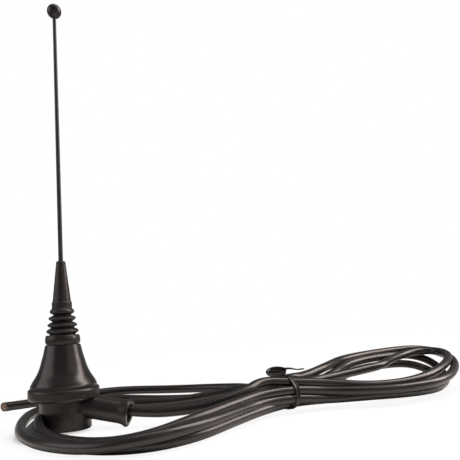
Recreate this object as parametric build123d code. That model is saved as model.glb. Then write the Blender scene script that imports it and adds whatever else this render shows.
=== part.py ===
from build123d import *
import math
import os

os.makedirs("parts", exist_ok=True)

# Driving dimensions, in millimetres. The origin is the middle of the foot's underside.
CABLE_D = 4.95
FLANGE_R = 16.2
FLANGE_LOW = 14.0
FLANGE_TOP = 19.5
BARREL_R = 11.2
FOOT_R = 10.6
FOOT_H = 8.0
OUTLET_CROSS_Z = 12.5
OUTLET_REACH = 31.5
OUTLET_MOUTH_Z = 6.45
OUTLET_R = 5.5
LIP_R = 6.15
BELL_TOP = 39.7
RING_TOP = 43.7
BOOT_TOP = 78.9
BOOT_R = 7.45
ROD_GRIP_Z = 42.0
FERRULE_LOW = 29.5
FERRULE_TOP = 52.0
COLLAR_R = 4.1
COLLAR_T = 1.5
BELL_R = 15.05
BELL_ROOF = 35.0
WHIP_R = 1.07
WHIP_TIP_R = 0.8
BALL_R = 3.38
BALL_Z = 201.7
SHANK_R = 2.2
PLATE_R = 12.0
PLATE_T = 1.2
GROOVE_W = 1.4
GROOVE_D = 0.8
INSERT_R = 3.4
INSERT_L = 5.8
INSERT_BORE_R = 2.5
CHAMBER_R = 9.0
CHAMBER_FLOOR = 7.2

# Named clearances and the sizes that follow from them.
SLIP = 0.1
AIR = 0.3
CABLE_R = CABLE_D / 2
CORE_R = 0.45
DIELECTRIC_R = 1.475
BELL_BORE_R = SHANK_R + SLIP
BELL_ROOM_R = PLATE_R + 0.4
GROOVE_R = BELL_ROOM_R + 0.7
OUTLET_BORE_R = CABLE_R + 0.2
SEAL_SEAT_R = 4.3
SEAL_DEPTH = 3.2
SEAL_L = 4.8

tilt = math.atan2(OUTLET_CROSS_Z - OUTLET_MOUTH_Z, OUTLET_REACH)
OUT = Vector(math.cos(tilt), 0, -math.sin(tilt))
MOUTH = Vector(OUTLET_REACH, 0, OUTLET_MOUTH_Z)
JACKET_START = (OUTLET_REACH - CHAMBER_R + 3.35) / math.cos(tilt)


def save(solid, node):
    """Writes one piece and prints its size."""
    box = solid.bounding_box()
    print(f"{node}: volume {solid.volume:.1f}, z {box.min.Z:.2f} to {box.max.Z:.2f}")
    export_step(solid, f"parts/{node}.step")


def along_outlet(distance):
    """A plane across the outlet's axis, this far behind its mouth."""
    return Plane(origin=MOUTH - OUT * distance, z_dir=OUT)


def turned(edges):
    """Revolves a closed outline of edges drawn in X and Z about the Z axis."""
    return revolve(make_face(Wire(edges)), Axis.Z)


def chain(points):
    """Straight edges from point to point, given as radius and height."""
    corners = [(r, 0, z) for r, z in points]
    return [Line(a, b) for a, b in zip(corners, corners[1:])]


def disc(radius, low, high):
    return Pos(0, 0, (low + high) / 2) * Cylinder(radius, high - low)


def tube(outer, inner, low, high):
    return disc(outer, low, high) - disc(inner, low - 1, high + 1)


def across_outlet(radius, start, length):
    """A round bar on the outlet's axis from this distance behind the mouth."""
    return extrude(along_outlet(start) * Circle(radius), length)


# The moulded body: an oval foot, a barrel, a thick rounded flange and the cable outlet.
foot_plan = make_hull(
    (Pos(0, 0) * Circle(FOOT_R)).edges() + (Pos(3.4, 0) * Circle(9.0)).edges()
)
foot = extrude(foot_plan, FOOT_H + 0.5)
foot = fillet(foot.edges().group_by(Axis.Z)[0], 0.8)
flange = disc(FLANGE_R, FLANGE_LOW, FLANGE_TOP)
flange = fillet(flange.edges().filter_by(GeomType.CIRCLE), 1.5)
barrel = disc(BARREL_R, FOOT_H, FLANGE_LOW + 1)
reach = OUTLET_REACH / math.cos(tilt)
outlet = loft([along_outlet(reach - 2) * Circle(OUTLET_R + 0.3), along_outlet(0) * Circle(OUTLET_R)])
lip = extrude(along_outlet(1.9) * Circle(LIP_R + 0.35), 1.9)
lip = fillet(lip.edges().filter_by(GeomType.CIRCLE), 0.7)
flare = loft([along_outlet(4.4) * Circle(OUTLET_R + 0.03), along_outlet(1.2) * Circle(LIP_R)])
body = foot + barrel + flange + outlet + flare + lip
body -= disc(CHAMBER_R, CHAMBER_FLOOR, FLANGE_TOP + 1)
body -= across_outlet(OUTLET_BORE_R, JACKET_START + 0.6, JACKET_START + 1)
body -= across_outlet(SEAL_SEAT_R, SEAL_DEPTH + SEAL_L, 12)
body -= disc(INSERT_R, -1, INSERT_L)
body -= tube(GROOVE_R + GROOVE_W, GROOVE_R, FLANGE_TOP - GROOVE_D, FLANGE_TOP + 1)
gate = math.radians(-37)
gate_spot = ((FLANGE_R + 1.7) * math.cos(gate), (FLANGE_R + 1.7) * math.sin(gate), 15.4)
body -= Pos(*gate_spot) * Sphere(2.3)
save(body, "base_body")

save(tube(INSERT_R, INSERT_BORE_R, 0, INSERT_L), "base_insert")
save(tube(GROOVE_R + GROOVE_W, GROOVE_R, FLANGE_TOP - GROOVE_D, FLANGE_TOP), "bell_seal")
save(tube(PLATE_R, DIELECTRIC_R + 0.2, FLANGE_TOP, FLANGE_TOP + PLATE_T), "ground_plate")
seal = across_outlet(SEAL_SEAT_R, SEAL_DEPTH + SEAL_L, SEAL_L)
save(seal - across_outlet(CABLE_R, 12, 14), "outlet_seal")
crimp = across_outlet(CABLE_R + 0.9, JACKET_START, 2.4)
save(crimp - across_outlet(CABLE_R, JACKET_START + 1, 6), "cable_crimp")

# The bell over the flange: an outer curve, a hollow room and a bored top. The curve is given as
# parts of the bell's radius and height.
BELL_H = BELL_TOP - FLANGE_TOP
bell_curve = [
    (0.983, 0.074), (0.917, 0.167), (0.822, 0.279), (0.747, 0.397), (0.692, 0.510),
    (0.650, 0.627), (0.605, 0.740), (0.568, 0.858), (0.532, 0.971),
]
room_curve = [(0.395, 0.770), (0.484, 0.598), (0.599, 0.377), (0.739, 0.211), (0.828, 0.113)]


def bell_point(part):
    return part[0] * BELL_R, FLANGE_TOP + part[1] * BELL_H


def curve(points):
    return Spline([(r, 0, z) for r, z in points])


outer = [bell_point(p) for p in bell_curve]
room = [bell_point(p) for p in room_curve]
neck_r = 0.484 * BELL_R
bell = turned(
    chain([(room[-1][0], FLANGE_TOP), (BELL_R, FLANGE_TOP), (BELL_R, FLANGE_TOP + 0.059 * BELL_H), outer[0]])
    + [curve(outer)]
    + chain([outer[-1], (neck_r, BELL_TOP - 0.025 * BELL_H), (neck_r, BELL_TOP), (BELL_BORE_R, BELL_TOP),
             (BELL_BORE_R, BELL_ROOF), (room[0][0], BELL_ROOF), room[0]])
    + [curve(room)]
    + chain([room[-1], (room[-1][0], FLANGE_TOP)])
)
save(bell, "bell_cover")

# The clamp ring around the boot's foot, slightly barrelled with a rounded top.
ring_h = RING_TOP - BELL_TOP
ring_r = 0.513 * BELL_R
BOOT_FOOT_R = 6.0


def arc(*points):
    return ThreePointArc(*[(r, 0, z) for r, z in points])


side_top = (ring_r, RING_TOP - 0.15 * ring_h)
ring = turned(
    chain([(BOOT_FOOT_R, BELL_TOP), (ring_r, BELL_TOP)])
    + [arc((ring_r, BELL_TOP), (1.035 * ring_r, BELL_TOP + 0.42 * ring_h), side_top)]
    + [arc(side_top, (0.98 * ring_r, RING_TOP - 0.045 * ring_h), (0.93 * ring_r, RING_TOP))]
    + chain([(0.93 * ring_r, RING_TOP), (BOOT_FOOT_R, RING_TOP), (BOOT_FOOT_R, BELL_TOP)])
)
save(ring, "boot_ring")

# The ribbed boot: four shrinking ribs, a plain collar and a long cone. The ribs are given as parts of
# the widest rib's radius and of the boot's height over the ring.
BOOT_H = BOOT_TOP - RING_TOP
ribs = [
    (0.799, 0.014), (0.926, 0.030), (0.98, 0.054), (0.89, 0.078), (0.712, 0.102), (0.839, 0.115),
    (0.906, 0.136), (0.805, 0.159), (0.622, 0.182), (0.758, 0.202), (0.832, 0.227), (0.711, 0.250),
    (0.537, 0.270), (0.678, 0.290), (0.749, 0.3125), (0.698, 0.338), (0.615, 0.358),
]


def boot_point(r, h):
    return r * BOOT_R, RING_TOP + h * BOOT_H


cone_top = boot_point(0.295, 0.963)
tip_in = boot_point(0.181, 1.0)
boot = turned(
    chain([(COLLAR_R, BELL_TOP), (BOOT_FOOT_R, BELL_TOP), (BOOT_FOOT_R, RING_TOP)])
    + [curve([(BOOT_FOOT_R, RING_TOP)] + [boot_point(*p) for p in ribs])]
    + chain([boot_point(0.615, 0.358), boot_point(0.617, 0.432), boot_point(0.597, 0.443),
             boot_point(0.564, 0.4475), cone_top])
    + [arc(cone_top, boot_point(0.266, 0.989), tip_in)]
    + chain([tip_in, (WHIP_R, BOOT_TOP), (WHIP_R, FERRULE_TOP), (SHANK_R, FERRULE_TOP),
             (SHANK_R, BELL_TOP + COLLAR_T), (COLLAR_R, BELL_TOP + COLLAR_T), (COLLAR_R, BELL_TOP)])
)
save(boot, "boot")

# The brass ferrule that grips the rod and passes through the bell's top, with its washer and nut.
WASHER_T = 0.8
NUT_H = 3.0
ferrule = disc(SHANK_R, FERRULE_LOW, FERRULE_TOP) + disc(COLLAR_R, BELL_TOP, BELL_TOP + COLLAR_T)
ferrule -= disc(WHIP_R, ROD_GRIP_Z, FERRULE_TOP + 1)
ferrule -= disc(CORE_R, FERRULE_LOW - 1, FERRULE_LOW + 3)
save(ferrule, "whip_ferrule")
save(tube(SHANK_R + 2.4, SHANK_R, BELL_ROOF - WASHER_T, BELL_ROOF), "stud_washer")
nut_low = BELL_ROOF - WASHER_T - NUT_H
nut = extrude(Pos(0, 0, nut_low) * RegularPolygon(SHANK_R + 1.8, 6), NUT_H) - disc(SHANK_R, nut_low - 1, BELL_ROOF)
save(nut, "stud_nut")

# The whip: a plain length inside the boot, then a long slow taper up to the ball.
rod_low, taper_low, rod_top = ROD_GRIP_Z, BOOT_TOP + 1.1, BALL_Z + 1.0
rod = disc(WHIP_R, rod_low, taper_low)
rod += Pos(0, 0, (taper_low + rod_top) / 2) * Cone(WHIP_R, WHIP_TIP_R, rod_top - taper_low)
save(rod, "whip_rod")
ball = Pos(0, 0, BALL_Z) * Sphere(BALL_R) - rod
save(ball, "tip_ball")

# The coax's inner conductor and its insulation, bent up inside the chamber.
bend_start = MOUTH - OUT * JACKET_START
bend_corner = MOUTH - OUT * reach


def inner_wire(radius, top):
    route = FilletPolyline([bend_start, bend_corner, Vector(0, 0, top)], radius=2.2)
    return sweep(along_outlet(JACKET_START) * Circle(radius), path=route)


core = inner_wire(CORE_R, FERRULE_LOW + 3)
save(core, "lead_core")
save(inner_wire(DIELECTRIC_R, FERRULE_LOW - 3.5) - core, "lead_dielectric")


def corner_radii(points, cap):
    """The widest bend at each corner that leaves straight cable between bends."""
    radii = []
    for before, here, after in zip(points, points[1:], points[2:]):
        a, b = here - before, after - here
        half_turn = math.radians(a.get_angle(b)) / 2
        radii.append(min(cap, 0.45 * min(a.length, b.length) / math.tan(half_turn)))
    return radii


def cable(points, node, cap=60.0):
    """A solid tube of the cable's size along straight runs and tangent arcs."""
    points = [Vector(*p) for p in points]
    radii = corner_radii(points, cap)
    route = FilletPolyline(points, radius=radii)
    start = Plane(origin=points[0], z_dir=points[1] - points[0])
    solid = sweep(start * Circle(CABLE_R), path=route)
    wanted = math.pi * CABLE_R ** 2 * route.length
    print(f"{node}: bends {[round(r, 1) for r in radii]}, length {route.length:.1f},"
          f" volume {solid.volume / wanted:.3f} of section times length")
    save(solid, node)
    return solid


# The cable out of the body and up on to the waist of the hank.
lead_in = bend_start
lead_bend = MOUTH + OUT * 2.8
lead_route = [
    (lead_in.X, 0, lead_in.Z), (lead_bend.X, 0, lead_bend.Z), (63.5, 0, 7.0), (84.0, 5.0, 12.0), (97.0, 19.5, 14.9),
]
lead = cable(lead_route, "coax_lead", 36.0)

# The hank: a flat ring round the body, a raised ring to the right and the tied waist.
HANK_H = 10.0
WAIST = Vector(106.2, 28.6, 10.1)
WAIST_TURN = 25.0
WAIST_W = 16.6
WAIST_H = 15.6
WAIST_L = 20.0
left_outer = [
    (-29, 12), (-20, -17), (-4, -37), (20, -50.5), (44, -55.5), (64, -49), (78, -27), (90, 0), (108, 22),
    (105, 42), (86, 61), (60, 74), (30, 78.5), (2, 73), (-20, 50),
]
left_hole = [
    (-12.4, 0), (-8, -18), (8, -33), (28, -41), (46, -42), (60, -32), (70, -12), (84, 14),
    (82, 30), (62, 41), (36, 45), (10, 42), (-8, 24),
]
right_outer = [
    (104, 22), (126, 27), (150, 32), (172, 43), (191, 60), (206, 84), (213, 107), (207, 128),
    (192, 133), (172, 119), (150, 93), (128, 65), (105, 42),
]
right_hole = [
    (130, 42), (150, 47), (170, 61), (186, 80), (196, 102), (194, 115), (184, 110), (168, 93), (148, 68),
]


def ring_face(outer, hole):
    """A flat face between two smooth closed curves."""
    faces = [make_face(Spline([(x, y, 0) for x, y in p], periodic=True)) for p in (outer, hole)]
    return faces[0] - faces[1]


left_ring = Pos(0, 0, AIR) * extrude(ring_face(left_outer, left_hole), HANK_H - AIR)
left_ring = chamfer(left_ring.edges().group_by(Axis.Z)[-1], 2.0)
right_ring = extrude(ring_face(right_outer, right_hole), 30)
lean = Rot(0, 0, 41) * Rot(11, 0, 0)
slab = Pos(104, 29, 0) * lean * Pos(50, 0, 10.0) * Box(260, 160, 14.5)
right_ring = right_ring & slab
right_ring = right_ring & (Pos(150, 80, 15 + AIR) * Box(200, 200, 30))
waist_at = Pos(WAIST.X, WAIST.Y, WAIST.Z) * Rot(0, 0, WAIST_TURN)
waist_section = Plane.YZ * RectangleRounded(WAIST_W, WAIST_H, 5.0)
waist = waist_at * extrude(waist_section, WAIST_L / 2, both=True)
hank = left_ring + right_ring + waist
BAND_T = 0.7
BAND_W = 1.7
band_slot = waist_at * extrude(Plane.YZ * Rectangle(90, 60), BAND_W / 2 + 0.2, both=True)
hank -= band_slot - waist
hank -= lead
hank -= waist_at * Pos(2, 0, WAIST_H / 2 + 5) * Box(26, 22, 10)
save(hank, "coax_hank")

# The wire tie round the waist: a flat band, then the twisted knot with its loop and tail.
band_section = Plane.YZ * RectangleRounded(WAIST_W + 2 * BAND_T, WAIST_H + 2 * BAND_T, 5.6)
band = waist_at * extrude(band_section, BAND_W / 2, both=True) - waist
save(band, "tie_band")
knot_at = waist_at * Pos(0, -1.5, WAIST_H / 2 + BAND_T)
knot = knot_at * Pos(0, 0, 1.1) * Box(3.4, 5.0, 2.2)
knot += knot_at * Pos(-4.6, 0, 4.3) * Rot(70, 0, 0) * Torus(3.0, 0.8)
knot += knot_at * Pos(4.6, 0, 2.2) * Rot(0, 90, 0) * Cylinder(0.8, 8.4)
save(knot, "tie_twist")

# The loose end: a short free length from the ring round the body to the square cut.
tail_route = [(-12.0, 62.0, 5.4), (-33.0, 50.0, 4.8), (-52.0, 36.0, 4.4)]
tail_points = [Vector(*p) for p in tail_route]
tail_end = tail_points[-1]
tail_dir = (tail_end - tail_points[-2]).normalized()
tail_line = FilletPolyline(tail_points, radius=corner_radii(tail_points, 60.0))
tail_plane = Plane(origin=tail_points[0], z_dir=tail_points[1] - tail_points[0])
tail = sweep(tail_plane * Circle(CABLE_R), path=tail_line) - hank


def from_cut(depth):
    return Plane(origin=tail_end - tail_dir * depth, z_dir=tail_dir)


BRAID_R = 1.8
tail -= extrude(from_cut(4.0) * Circle(BRAID_R), 5.0)
save(tail, "coax_tail")
end_stub = extrude(from_cut(4.0) * Circle(DIELECTRIC_R), 4.0)
end_wire = extrude(from_cut(4.0) * Circle(CORE_R), 4.3)
save(extrude(from_cut(4.0) * Circle(BRAID_R), 4.0) - end_stub, "end_braid")
save(end_stub - end_wire, "end_dielectric")
save(end_wire, "end_core")
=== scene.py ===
# %% [markdown]
# A ball-tipped radio antenna with its coax lead coiled round the foot. The solid pieces come from
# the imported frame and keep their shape. This script gives them their finishes and makes what a
# solid model only stands in for: the real cable with its turns, the wire tie that holds them and
# the bare cut end. The cable and the tie's band are worked out in millimetres, and the rest in
# Blender's metres.

# %% Load the frame
import math
import bpy
from mathutils import Matrix, Vector


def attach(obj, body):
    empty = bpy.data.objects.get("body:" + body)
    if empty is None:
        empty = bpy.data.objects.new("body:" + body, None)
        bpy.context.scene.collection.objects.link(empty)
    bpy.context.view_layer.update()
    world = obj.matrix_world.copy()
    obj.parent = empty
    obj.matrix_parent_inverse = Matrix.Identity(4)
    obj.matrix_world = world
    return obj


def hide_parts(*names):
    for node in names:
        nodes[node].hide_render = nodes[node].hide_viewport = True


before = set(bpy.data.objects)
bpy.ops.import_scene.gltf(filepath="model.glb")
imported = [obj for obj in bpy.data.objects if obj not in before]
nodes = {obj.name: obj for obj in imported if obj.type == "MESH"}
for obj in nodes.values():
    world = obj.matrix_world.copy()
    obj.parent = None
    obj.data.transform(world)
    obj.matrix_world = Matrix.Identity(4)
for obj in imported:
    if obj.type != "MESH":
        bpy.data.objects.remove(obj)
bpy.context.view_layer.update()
MM = 0.001
print("solid pieces:", len(nodes))

# %% [markdown]
# Shader maths reads best as plain expressions. A small class holds one socket and its tree, and
# each operator adds one Math node. Every node is added by a single function that takes its type,
# its settings and the values or links of its sockets.

# %% A wrapper for shader sockets
class Sock:
    """An output socket and the tree that it is in."""
    def __init__(self, tree, out):
        self.tree, self.out = tree, out

    def math(self, operation, first, second):
        return make(self.tree, "ShaderNodeMath", {"operation": operation}, in0=first, in1=second)

    def __add__(self, other): return self.math("ADD", self, other)
    __radd__ = __add__
    def __mul__(self, other): return self.math("MULTIPLY", self, other)
    __rmul__ = __mul__
    def __sub__(self, other): return self.math("SUBTRACT", self, other)
    def __rsub__(self, other): return self.math("SUBTRACT", other, self)

    def clamp(self):
        """Keeps the value between 0 and 1."""
        return self.math("MINIMUM", self.math("MAXIMUM", self, 0.0), 1.0)

    def step(self, low, high):
        """Rises smoothly from 0 at low to 1 at high."""
        return make(self.tree, "ShaderNodeMapRange", {"interpolation_type": "SMOOTHSTEP"},
                    Value=self, From_Min=low, From_Max=high)


def connect(tree, value, socket):
    """Links a Sock, or sets a plain value. A colour is given without its opacity."""
    if isinstance(value, Sock):
        tree.links.new(value.out, socket)
    else:
        socket.default_value = (*value, 1.0) if socket.type == "RGBA" else value


def make(tree, kind, settings=None, pick=0, **sockets):
    """Adds a node and returns the output that pick names or counts. In a socket's name an
    underscore stands for a space, and in0, in1 count sockets."""
    n = tree.nodes.new(kind)
    for key, value in (settings or {}).items():
        setattr(n, key, value)
    for key, value in sockets.items():
        counted = key[:2] == "in" and key[2:].isdigit()
        connect(tree, value, n.inputs[int(key[2:]) if counted else key.replace("_", " ")])
    return Sock(tree, n.outputs[pick]) if n.outputs else None


print("shader tools ready")

# %% [markdown]
# A material starts from the place on the object, so that a pattern stays put when the object
# moves. Three small helpers are enough for all the finishes here: one makes a material, one a
# noise pattern, and one blends two colours.

# %% Helpers for finishes
def finish(name, shade):
    """A new material whose surface is what shade(place) returns."""
    m = bpy.data.materials.new(name)
    m.use_nodes = True
    m.node_tree.nodes.clear()
    place = make(m.node_tree, "ShaderNodeTexCoord", pick="Object")
    make(m.node_tree, "ShaderNodeOutputMaterial", Surface=shade(place))
    return m


def noise(place, scale, detail, **more):
    return make(place.tree, "ShaderNodeTexNoise", Vector=place, Scale=scale, Detail=detail, **more)


def blend(share, first, second):
    """A colour that turns from first to second as share goes from 0 to 1."""
    return make(share.tree, "ShaderNodeMix", {"data_type": "RGBA"}, pick=2,
                in0=share, in6=first, in7=second)


print("finish helpers ready")

# %% [markdown]
# All the black pieces are moulded plastic or rubber, and they differ by their sheen and their
# grain. A moulded skin is never even: broad soft clouds change its gloss, a fine grain breaks the
# highlight, and handling leaves a few paler rubbed specks. One recipe with a few numbers covers
# them all.

# %% The recipe for a black moulding
CLOUD_SCALE, SPECK_SCALE = 55.0, 420.0
GRAIN_DEPTH = 0.00006


def moulded(name, colour, rough, grain, bump, specks=0.0):
    """grain is the scale of the fine grain, bump its strength, and specks the share of paler
    colour where the skin is rubbed."""
    rubbed = tuple(c * 1.6 + 0.002 for c in colour)

    def shade(place):
        clouds = noise(place, CLOUD_SCALE, detail=3.0)
        fine = noise(place, grain, detail=2.0, Roughness=0.6)
        rub = noise(place, SPECK_SCALE, detail=1.0).step(0.66, 0.74)
        return make(place.tree, "ShaderNodeBsdfPrincipled", IOR=1.5,
                    Base_Color=blend((clouds * 0.6 + rub * specks).clamp(), colour, rubbed),
                    Roughness=(clouds - 0.5) * 0.12 + (fine - 0.5) * 0.03 + rough,
                    Normal=make(place.tree, "ShaderNodeBump", Strength=bump,
                                Distance=GRAIN_DEPTH, Height=fine))
    return finish(name, shade)


print("moulding recipe ready")

# %% [markdown]
# The bell is the glossiest moulding of the base, and it is nearly smooth. The foot and the clamp
# ring are satin. The boot is soft rubber, so its highlights spread, and the whip's coating is
# dull. The ball at the tip is the smoothest of all.

# %% The black finishes
BLACK = (0.0098, 0.0080, 0.0075)
body_black = moulded("moulded body black", BLACK, rough=0.34, grain=1500.0, bump=0.16, specks=0.15)
bell_black = moulded("moulded bell black", BLACK, rough=0.29, grain=1500.0, bump=0.05, specks=0.05)
ring_black = moulded("clamp ring black", (0.0102, 0.0085, 0.0080), rough=0.34, grain=1500.0,
                     bump=0.16)
boot_rubber = moulded("boot rubber", (0.0092, 0.0078, 0.0076), rough=0.40, grain=1300.0,
                      bump=0.2, specks=0.2)
whip_coat = moulded("whip coating", (0.018, 0.015, 0.018), rough=0.42, grain=700.0, bump=0.02)
ball_gloss = moulded("ball plastic", (0.0092, 0.0080, 0.0082), rough=0.24, grain=700.0, bump=0.02)
seal_rubber = moulded("seal rubber", (0.010, 0.010, 0.010), rough=0.6, grain=1800.0, bump=0.5)
tie_vinyl = moulded("tie vinyl", (0.0120, 0.0100, 0.0092), rough=0.36, grain=1500.0, bump=0.3)
print("black finishes: body, bell, ring, boot, whip, ball, seals and tie")

# %% [markdown]
# Inside are turned brass, plated steel and bare copper. A metal's colour is its reflection, so
# Metallic is 1, and its life comes from fine marks in the roughness and a faint darker stain. The
# cable's inner insulation is pale plastic and takes the moulding recipe.

# %% The metals and the inner insulation
def metal(name, colour, rough):
    stained = tuple(c * 0.7 for c in colour)

    def shade(place):
        turning = noise(place, scale=900.0, detail=2.0)
        stain = noise(place, scale=90.0, detail=2.0)
        return make(place.tree, "ShaderNodeBsdfPrincipled", Metallic=1.0,
                    Base_Color=blend(stain * 0.5, colour, stained),
                    Roughness=turning * 0.2 + rough)
    return finish(name, shade)


brass = metal("turned brass", (0.72, 0.52, 0.24), rough=0.25)
zinc = metal("zinc plate", (0.60, 0.60, 0.60), rough=0.28)
copper = metal("bare copper", (0.36, 0.18, 0.10), rough=0.38)
pale_core = moulded("inner insulation", (0.14, 0.108, 0.09), rough=0.5, grain=1800.0, bump=0.3)
print("metals: brass, zinc and copper")

# %% [markdown]
# The solids of the frame come with plain stand-in materials. Each one's slot is emptied and given
# its real finish, and its mesh is left alone.

# %% Give each solid its finish
node_finishes = {
    "base_body": body_black, "bell_cover": bell_black, "boot_ring": ring_black,
    "boot": boot_rubber, "whip_rod": whip_coat, "tip_ball": ball_gloss,
    "bell_seal": seal_rubber, "outlet_seal": seal_rubber,
    "ground_plate": zinc, "stud_washer": zinc, "stud_nut": zinc,
    "base_insert": brass, "whip_ferrule": brass, "cable_crimp": brass,
    "lead_core": copper, "lead_dielectric": pale_core,
}
for name, material in node_finishes.items():
    nodes[name].data.materials.clear()
    nodes[name].data.materials.append(material)
print("finishes on solid pieces:", len(node_finishes))

# %% [markdown]
# The cable is one length of coax: it leaves the outlet, climbs on to the bundle, makes four turns
# in the right lobe and three round the foot, and ends bare behind the body. A real coil isn't
# drawn turn by turn. One mean turn gives each lobe its outline, and every pass round it is pushed
# in or out and lifted by its own amounts, because the strands lie over each other.

# %% The mean turns of the two lobes
CABLE_R = 2.475
LEFT_CENTRE, RIGHT_CENTRE = (38, 8), (165, 80)
left_turn = [(86, 50), (64, 58), (36, 60), (4, 58), (-19, 45), (-26.5, 24), (-21.5, -1),
             (-11, -24.5), (8, -42), (33, -51), (53, -47), (68, -30), (79, -10), (91, 12)]
right_turn = [(124, 33), (145, 37), (166, 45), (185, 60), (200, 84), (207, 107), (203, 125),
              (188, 125), (170, 108), (150, 86), (134, 66), (119, 50)]


def lobe(mean, centre, inward, height):
    """One pass round a lobe: the mean turn, pushed inwards and lifted point by point."""
    points = []
    for (x, y), push, z in zip(mean, inward, height):
        to_centre = (Vector(centre) - Vector((x, y))).normalized()
        points.append((x + to_centre.x * push, y + to_centre.y * push, z))
    return points


print("points in a turn:", len(left_turn), "left,", len(right_turn), "right")

# %% [markdown]
# Each pass is a pair of rows: how far it is pushed inwards at each point of the mean turn, and how
# high its middle lies. A strand on the floor is half its thickness up, and one that crosses others
# is lifted over them.

# %% The passes round each lobe
left_passes = [
    ([6, 16, 20, 20, 16.5, 14.2, 10.6, 8.0, 7.5, 7, 7.5, 3, 2, 1],
     [9.9, 5.4, 4.0, 3.5, 4.5, 6.9, 6.8, 4.4, 2.8, 2.8, 4.6, 8.2, 9.8, 11.0]),
    ([2.5, 3, 3, -4, -6.0, -3.2, 0.2, 1.6, 0.0, -2.2, -3.2, -2, -1, 0],
     [9.3, 3.6, 2.6, 3.6, 3.8, 2.6, 2.6, 2.6, 2.8, 3.6, 6.4, 6.8, 7.0, 7.2]),
    ([5, 12, 15, 14, 12.5, 11.4, 7.8, 4.8, 3.2, 1.8, 0.5, -1.5, -1, -2],
     [4.8, 3.0, 2.6, 2.6, 2.6, 2.6, 2.6, 2.6, 2.6, 2.6, 2.6, 2.8, 3.6, 4.4]),
]
right_passes = [
    ([3, 2, 2, 2, 1.2, -0.2, 1.6, 6, 11, 12, 10, 4],
     [12.5, 9.9, 9.9, 12.0, 15.6, 18.4, 20, 19.4, 17.3, 15.7, 13.7, 12.3]),
    ([0, -4, -6, -6, -3.8, -3.0, -3.6, -8, -12, -12, -8, -6],
     [9, 8.4, 8.4, 9.6, 12.5, 15.6, 18.8, 20.8, 20.8, 19.5, 18, 15]),
    ([-1, 0, 0, 1, 3.6, 3.4, 3, -4, -8, -9, -5, -6],
     [5.0, 5.4, 5.0, 4.0, 3.6, 4.8, 12.2, 16.8, 18.2, 17.0, 13, 9]),
    ([7, 10, 12, 13, 12, 10, 9, 3, -3, -6, -4, -3],
     [4.4, 4.4, 5, 4.6, 4.6, 5, 7.6, 11.6, 13.2, 12.6, 9, 6.5]),
]
print("passes:", len(left_passes), "left,", len(right_passes), "right")

# %% [markdown]
# At the tie all the passes squeeze into a tight bundle, one place for each. A right pass leaves
# from one place of the bundle and comes back to the next, so the eight places stand in pairs. The
# free lead comes before the first pass, and the loose end after the last.

# %% Join the passes at the tie
TIE = Vector((106.0, 29.0))
TIE_TURN = math.radians(25)


def bundle_place(across, up):
    """A strand's place in the tied bundle, across it towards the camera and up from the floor."""
    return (TIE.x + across * math.sin(TIE_TURN), TIE.y - across * math.cos(TIE_TURN), up)


bundle = [bundle_place(*p) for p in ((1.8, 14.6), (-5, 11.6), (5, 11.3), (-3.4, 15.9),
                                     (6.2, 7.3), (0.2, 9.9), (1.8, 5.0), (-3.4, 6.0))]
free_lead = [(5.65, 0, 11.43), (34.25, 0, 5.92), (63.5, 0, 7.4), (83.8, 6.3, 12.7),
             (91.9, 20, 16.7)]
loose_end = [(86, 55, 8.6), (62, 70, 6.9), (34, 77, 5.6), (4, 73, 6.6), (-12, 62, 6.4),
             (-33, 50, 4.8), (-49.7, 37.7, 4.4)]
route = list(free_lead)
for k, right_pass in enumerate(right_passes):
    route += [bundle[2 * k], *lobe(right_turn, RIGHT_CENTRE, *right_pass), bundle[2 * k + 1]]
    if k < len(left_passes):
        route += lobe(left_turn, LEFT_CENTRE, *left_passes[k])
route += loose_end
print("points along the cable:", len(route))

# %% [markdown]
# The jacket is smooth satin vinyl with a very fine grain. The cable is one NURBS curve with a
# round bevel, and not a mesh, so it stays a cable that can be measured and posed. The order of 3
# makes it pass close to its points without kinks.

# %% Make the cable
jacket = moulded("cable jacket", (0.0098, 0.0082, 0.0078), rough=0.29, grain=1100.0, bump=0.04,
                 specks=0.15)
line = bpy.data.curves.new("coax_cable", "CURVE")
line.dimensions = "3D"
strand = line.splines.new("NURBS")
strand.points.add(len(route) - 1)
for point, (x, y, z) in zip(strand.points, route):
    point.co = (x * MM, y * MM, z * MM, 1.0)
strand.order_u = 3
strand.use_endpoint_u = True
strand.resolution_u = 10
line.bevel_depth = CABLE_R * MM
line.bevel_resolution = 5
line.use_fill_caps = True
coax = bpy.data.objects.new("coax_cable", line)
bpy.context.scene.collection.objects.link(coax)
line.materials.append(jacket)

# %% [markdown]
# The tie is a flat vinyl strip with a wire inside, and a rib stands up along each of its edges. A
# strip is easiest to bend as a grid of faces: each row of its points goes to one place along a
# path, spread across it by the strip's section. A closed strip has its two ends bridged, and
# Solidify gives the sheet its wall.

# %% A helper for ribbed strips
half_section = [(0.0, -0.04), (0.36, 0.02), (0.62, 0.26), (0.92, 0.24), (1.05, 0.0)]
ribbed = ([(-across * MM, raised * MM) for across, raised in half_section[:0:-1]]
          + [(across * MM, raised * MM) for across, raised in half_section])


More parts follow.
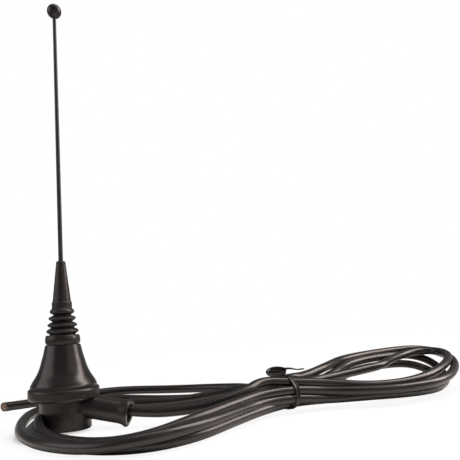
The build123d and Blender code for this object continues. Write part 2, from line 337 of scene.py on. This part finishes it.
def strip(name, path, sides, wall, closed=False):
    """A ribbed strip: path holds its points, and sides the unit vectors across it."""
    turns, wide = len(path), len(ribbed)
    bpy.ops.object.select_all(action="DESELECT")
    bpy.ops.mesh.primitive_grid_add(x_subdivisions=wide - 1, y_subdivisions=turns - 1, size=1)
    obj = bpy.context.object
    obj.name = obj.data.name = name
    for i in range(turns):
        ahead = path[(i + 1) % turns] if closed or i < turns - 1 else path[i]
        behind = path[i - 1] if closed or i > 0 else path[i]
        forward = (ahead - behind).normalized()
        up = sides[i].cross(forward).normalized()
        for j, (across, raised) in enumerate(ribbed):
            obj.data.vertices[i * wide + j].co = path[i] + sides[i] * across + up * raised
    bpy.ops.object.mode_set(mode="EDIT")
    if closed:
        bpy.ops.mesh.select_all(action="DESELECT")
        bpy.ops.object.mode_set(mode="OBJECT")
        for edge in obj.data.edges:
            ends = {v // wide for v in edge.vertices}
            edge.select = ends == {0} or ends == {turns - 1}
        bpy.ops.object.mode_set(mode="EDIT")
        bpy.ops.mesh.bridge_edge_loops()
    bpy.ops.mesh.select_all(action="SELECT")
    bpy.ops.mesh.normals_make_consistent(inside=False)
    bpy.ops.object.mode_set(mode="OBJECT")
    shell = obj.modifiers.new("wall", "SOLIDIFY")
    shell.thickness = wall
    shell.offset = 0.0
    bpy.ops.object.modifier_apply(modifier=shell.name)
    bpy.ops.object.shade_smooth_by_angle(angle=math.radians(50))
    obj.data.materials.append(tie_vinyl)
    return obj


print("points across the strip:", len(ribbed))

# %% [markdown]
# The band has to lie on whatever strands are outermost, so it is wrapped by looking. From the
# bundle's heart one looks out in many directions round it, and each time the furthest strand near
# the band sets how far the band reaches. The strands' middles follow the same blend of three
# neighbouring points as the curve does. The band leans: it slips along the bundle on its far side.

# %% Look round the bundle
ALONG = Vector((math.cos(TIE_TURN), math.sin(TIE_TURN), 0))
ACROSS = Vector((math.sin(TIE_TURN), -math.cos(TIE_TURN), 0))
UP = Vector((0, 0, 1))
BAND_STEPS = 96
BAND_HALF_REACH, BAND_LIFT = 0.8, 0.35


def strands_at_tie():
    """Points along the middles of all the strands close to the tie."""
    found = []
    for i, place in enumerate(route):
        if place in bundle:
            a, b, c = (Vector(route[i + k]) for k in (-1, 0, 1))
            for t in (k / 60 for k in range(61)):
                found.append(a * (0.5 * (1 - t) ** 2) + b * (0.5 + t - t * t) + c * (0.5 * t * t))
    return found


strands = strands_at_tie()
heart = Vector((TIE.x, TIE.y, 10.2))
looks = []
for i in range(BAND_STEPS):
    angle = 2 * math.pi * i / BAND_STEPS
    out = ACROSS * math.cos(angle) + UP * math.sin(angle)
    slip = -(3.4 - 1.2 * math.sin(angle)) * (1 - max(math.cos(angle), -0.2))
    here = [p for p in strands if abs((p - heart).dot(ALONG) - slip) < BAND_HALF_REACH]
    reach = max((p - heart).dot(out) for p in here) + CABLE_R + BAND_LIFT
    looks.append((angle, out, slip, reach))
print("reach of the band, mm:", round(min(r for *_, r in looks), 1), "to",
      round(max(r for *_, r in looks), 1))

# %% [markdown]
# A strip under tension spans the hollows between strands. Each reach is a straight line of pull,
# and the band passes where the innermost of these lines meet. Averaging each point with its
# neighbours a few times rounds the corners, as the stiff strip does.

# %% The tie's band
band_path = []
for angle, out, slip, _ in looks:
    span = min(reach / math.cos(other - angle) for other, _, _, reach in looks
               if math.cos(other - angle) > 0.3)
    band_path.append((heart + ALONG * slip + out * span) * MM)
for _ in range(3):
    band_path = [(band_path[i - 1] + band_path[i] * 2 + band_path[(i + 1) % BAND_STEPS]) / 4
                 for i in range(BAND_STEPS)]
band_sides = []
for i in range(BAND_STEPS):
    forward = (band_path[(i + 1) % BAND_STEPS] - band_path[i - 1]).normalized()
    band_sides.append((ALONG - forward * ALONG.dot(forward)).normalized())
band = strip("tie_band_strip", band_path, band_sides, wall=0.00035, closed=True)
top = max(band_path, key=lambda p: p.z)
print("top of the band, m:", [round(v, 4) for v in top])

# %% [markdown]
# On top the strip's ends are twisted together: one end folds over as a flat loop with a smaller
# wrap inside it, and the other sticks out as a thin tail. The loop's strip is nearly edge on to
# the camera at the top and flat to it at the bottom, so the angle across the strip changes on the
# way round the oval.

# %% The tie's knot and tail
KNOT_STEPS, STRIP_WALL = 64, 0.0004


def folded(name, centre, long, tall, start, turns, open_top, open_low, slide):
    """An oval loop of the strip. open_top and open_low are the degrees that the strip's width
    turns towards the camera at the top and bottom, and slide is how far its ends lie apart."""
    path, sides = [], []
    for i in range(KNOT_STEPS):
        t = i / (KNOT_STEPS - 1)
        a = start + 2 * math.pi * turns * t
        path.append(centre + ALONG * math.cos(a) * long + UP * math.sin(a) * tall
                    + ACROSS * slide * (t - 0.5))
        outward = ALONG * math.cos(a) + UP * math.sin(a)
        spread = math.radians((open_top + open_low) / 2 + (open_top - open_low) / 2 * math.sin(a))
        sides.append(outward * math.cos(spread) + ACROSS * math.sin(spread))
    return strip(name, path, sides, STRIP_WALL)


knot = folded("tie_knot_loop", top + ALONG * -0.0058 + UP * 0.0030, long=0.0050, tall=0.0019,
              start=-0.5, turns=1.0, open_top=80, open_low=10, slide=0.0016)
wrap = folded("tie_knot_wrap", top + ALONG * -0.0054 + UP * 0.0026 - ACROSS * 0.0008,
              long=0.0032, tall=0.0009, start=0.3, turns=1.4, open_top=30, open_low=0,
              slide=0.0012)
tail_path, tail_sides = [], []
for i in range(11):
    rise = 0.0036 + 0.0002 * math.sin(i * 0.7) - 0.00009 * i
    tail_path.append(top + UP * rise + ALONG * (-0.0014 + 0.00105 * i) + ACROSS * 0.0012)
    lean = 0.5 - 0.06 * i
    tail_sides.append((ACROSS * math.cos(lean) + UP * math.sin(lean)) * (1.0 - 0.03 * i))
tail = strip("tie_tail", tail_path, tail_sides, STRIP_WALL)
print("tie pieces made: band, loop, wrap and tail")

# %% [markdown]
# The far end is snipped at a slant and left bare. Looking at the face one sees the black jacket, a
# ring of copper braid, the pale insulation and the bright inner conductor. A short cylinder closes
# the cable. Bisect cuts it along the slanted plane and fills the cut, and the new face is inset
# three times, each inset given its own finish and its own small height.

# %% The bare cut end
STUB_LENGTH, STUB_AHEAD, CUT_AHEAD = 0.0056, 0.0011, 0.0006
SLANT = math.radians(31)
layers = [(copper, 0.00050, -0.00012), (pale_core, 0.00045, 0.0001), (copper, 0.00098, 0.0003)]
end = Vector(route[-1]) * MM
run = (end - Vector(route[-2]) * MM).normalized()
cut_face = Vector((math.sin(SLANT), 0, math.cos(SLANT)))
bpy.ops.object.select_all(action="DESELECT")
bpy.ops.mesh.primitive_cylinder_add(vertices=48, radius=(CABLE_R + 0.02) * MM, depth=STUB_LENGTH)
cut = bpy.context.object
cut.name = cut.data.name = "cut_end"
for material in (jacket, *(layer[0] for layer in layers)):
    cut.data.materials.append(material)
bpy.ops.object.mode_set(mode="EDIT")
bpy.ops.mesh.select_mode(type="FACE")
bpy.ops.mesh.select_all(action="SELECT")
bpy.ops.mesh.bisect(plane_co=(0, 0, CUT_AHEAD), plane_no=cut_face, use_fill=True, clear_outer=True)
bpy.ops.mesh.select_all(action="DESELECT")
bpy.ops.object.mode_set(mode="OBJECT")
for face in cut.data.polygons:
    face.select = face.normal.dot(cut_face) > 0.98
bpy.ops.object.mode_set(mode="EDIT")
for number, (_, inset, lift) in enumerate(layers, 1):
    bpy.ops.mesh.inset(thickness=inset, depth=0)
    bpy.ops.mesh.extrude_region_move(TRANSFORM_OT_translate={"value": cut_face * lift})
    cut.active_material_index = number
    bpy.ops.object.material_slot_assign()
bpy.ops.object.mode_set(mode="OBJECT")
cut.matrix_world = (Matrix.Translation(end + run * STUB_AHEAD)
                    @ run.to_track_quat("Z", "Y").to_matrix().to_4x4())
bpy.ops.object.transform_apply(location=True, rotation=True, scale=True)
bpy.ops.object.shade_smooth_by_angle(angle=math.radians(35))
print("cut end at", [round(v, 4) for v in end])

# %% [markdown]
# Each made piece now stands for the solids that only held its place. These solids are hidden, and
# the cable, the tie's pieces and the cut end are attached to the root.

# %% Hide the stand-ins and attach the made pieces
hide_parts("coax_lead", "coax_hank", "coax_tail")
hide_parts("tie_band")
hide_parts("tie_twist")
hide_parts("end_braid", "end_dielectric", "end_core")
for obj, name in ((coax, "jacket"), (band, "tie"), (knot, "tie"), (wrap, "tie"), (tail, "tie"),
                  (cut, "jacket")):
    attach(obj, "root")

# %% [markdown]
# The object stands on a white sweep. To the camera the floor is mostly plain white light, which
# the shadow can't darken, and less so close to the foot, where the pale floor shows its soft
# shadow. What the gloss mirrors is another matter: under the coil it sees the pale floor as it
# is, round the coil a dim one, which keeps the black pieces black, and far away a bright one.

# %% The white floor
def light_rays(tree):
    """One factor is 1 for a ray from the camera or through glass, the other for a mirrored one."""
    camera, through, mirrored = (make(tree, "ShaderNodeLightPath", pick=kind) for kind in
                                 ("Is Camera Ray", "Is Transmission Ray", "Is Glossy Ray"))
    return camera + through, mirrored


def distance(place, x, y):
    """How far a place on the floor is from the point x, y."""
    return make(place.tree, "ShaderNodeVectorMath", {"operation": "DISTANCE"}, pick=1,
                in0=place, in1=(x, y, 0.0))


def white_floor(place):
    sight, mirrored = light_rays(place.tree)
    from_coil, from_foot = distance(place, 0.08, 0.03), distance(place, -0.003, -0.012)
    lit = from_coil.step(0.25, 0.9) * 0.10 + from_foot.step(0.008, 0.022) * 0.75 + 0.15
    outside, far = from_coil.step(0.11, 0.24), from_coil.step(0.6, 1.5)
    pale = make(place.tree, "ShaderNodeBsdfDiffuse", Color=(0.86, 0.835, 0.81),
                Roughness=noise(place, scale=3.0, detail=2.0) * 0.2)
    glow = make(place.tree, "ShaderNodeEmission", Color=(1.0, 1.0, 1.0), Strength=1.0)
    dim = make(place.tree, "ShaderNodeBsdfDiffuse", Color=(0.12, 0.115, 0.11))
    seen = make(place.tree, "ShaderNodeMixShader", in0=sight * lit + mirrored * far * 0.5,
                in1=pale, in2=glow)
    return make(place.tree, "ShaderNodeMixShader", in0=mirrored * outside * (1.0 - far) * 0.9,
                in1=seen, in2=dim)


bpy.ops.mesh.primitive_plane_add(size=6)
floor = bpy.context.object
floor.name = "floor"
floor.data.materials.append(finish("white floor", white_floor))
print("floor size, m:", [round(v, 1) for v in floor.dimensions[:2]])

# %% [markdown]
# The world is plain white to the camera. To the object it is a dim room, a little brighter
# overhead, with part of the white backdrop low down behind the object.

# %% The room
world = bpy.data.worlds.new("studio")
bpy.context.scene.world = world
world.use_nodes = True
room = world.node_tree
room.nodes.clear()
sight, mirrored = light_rays(room)
way = make(room, "ShaderNodeTexCoord")
away, height = (make(room, "ShaderNodeSeparateXYZ", pick=axis, Vector=way) for axis in "YZ")
backdrop = away.step(0.1, 0.8) * (1.0 - height.step(0.0, 0.3))
plain = make(room, "ShaderNodeBackground", Color=(1.0, 1.0, 1.0), Strength=1.0)
studio = make(room, "ShaderNodeBackground", Color=(0.97, 0.98, 1.0),
              Strength=height.step(0.2, 0.9) * 0.14 + 0.08)
both = make(room, "ShaderNodeMixShader", in0=sight + mirrored * backdrop * 0.3,
            in1=studio, in2=plain)
make(room, "ShaderNodeOutputWorld", Surface=both)
print("room nodes:", len(room.nodes))

# %% [markdown]
# Soft boxes are area lamps, and their size against their distance sets how wide a band they draw
# on the gloss. A warm window to the right draws the long bright band on the bell, and a wide weak
# one on the left the dull band on its other side. A strip overhead and a small box in front bring
# out the strands, and a large one from above, which the gloss doesn't see, fills the shadows.

# %% Lamps
CAMERA_TURN = 6.0


def softbox(name, azimuth, elevation, away, wide, tall, radiance, colour, mirrored=True,
            aim=(0.08, 0.02, 0.05)):
    """Azimuth is in degrees to the right from the camera's side, and elevation from the floor."""
    lamp = bpy.data.lights.new(name, "AREA")
    lamp.shape, lamp.size, lamp.size_y = "RECTANGLE", wide, tall
    lamp.energy = radiance * math.pi * wide * tall
    lamp.color = colour
    obj = bpy.data.objects.new(name, lamp)
    bpy.context.scene.collection.objects.link(obj)
    a = math.radians(azimuth - 90 + CAMERA_TURN)
    e = math.radians(elevation)
    towards = Vector((math.cos(a) * math.cos(e), math.sin(a) * math.cos(e), math.sin(e)))
    obj.location = Vector(aim) + towards * away
    obj.rotation_euler = towards.to_track_quat("Z", "Y").to_euler()
    obj.visible_glossy = mirrored


softbox("right window", 106, 34, away=1.2, wide=0.42, tall=1.0, radiance=8.4,
        colour=(1.0, 0.87, 0.80))
softbox("left window", -70, 24, away=1.2, wide=1.1, tall=0.8, radiance=1.4,
        colour=(1.0, 0.94, 0.91))
softbox("ceiling strip", 98, 72, away=0.9, wide=0.28, tall=0.9, radiance=2.4,
        colour=(1.0, 0.91, 0.86))
softbox("coil front", 48, 34, away=0.6, wide=0.34, tall=0.22, radiance=0.8,
        colour=(1.0, 0.90, 0.84), aim=(0.16, 0.05, 0.01))
softbox("top light", 100, 80, away=1.5, wide=1.6, tall=1.6, radiance=2.5,
        colour=(1.0, 0.99, 0.98), mirrored=False)
print("lamps:", len(bpy.data.lights))

# %% [markdown]
# The camera stands close, a little above the coil, and looks slightly upwards. It is rolled by a
# couple of degrees, which gives the whip its lean in the picture. The lens is shifted so that the
# tall whip fits in the frame while the camera keeps its low view of the base.

# %% Camera
PICTURE_WIDTH, FOCAL_PIXELS = 460.0, 520.0
CAMERA_TILT, CAMERA_ROLL = 93.0, -2.5
lens = bpy.data.cameras.new("camera")
lens.sensor_width = 36.0
lens.lens = FOCAL_PIXELS / PICTURE_WIDTH * 36.0
lens.shift_y = 0.1196
lens.clip_start, lens.clip_end = 0.01, 50
camera = bpy.data.objects.new("camera", lens)
bpy.context.scene.collection.objects.link(camera)
camera.matrix_world = (Matrix.Translation(Vector((105.625, -237.397, 50.966)) * MM)
                       @ Matrix.Rotation(math.radians(CAMERA_TURN), 4, "Z")
                       @ Matrix.Rotation(math.radians(CAMERA_TILT), 4, "X")
                       @ Matrix.Rotation(math.radians(CAMERA_ROLL), 4, "Z"))
bpy.context.scene.camera = camera
bpy.context.scene.view_settings.view_transform = "Standard"
print("camera at", [round(v, 4) for v in camera.matrix_world.translation])

# %% [markdown]
# Last, every object is deselected.

# %% Finish
bpy.ops.object.select_all(action="DESELECT")
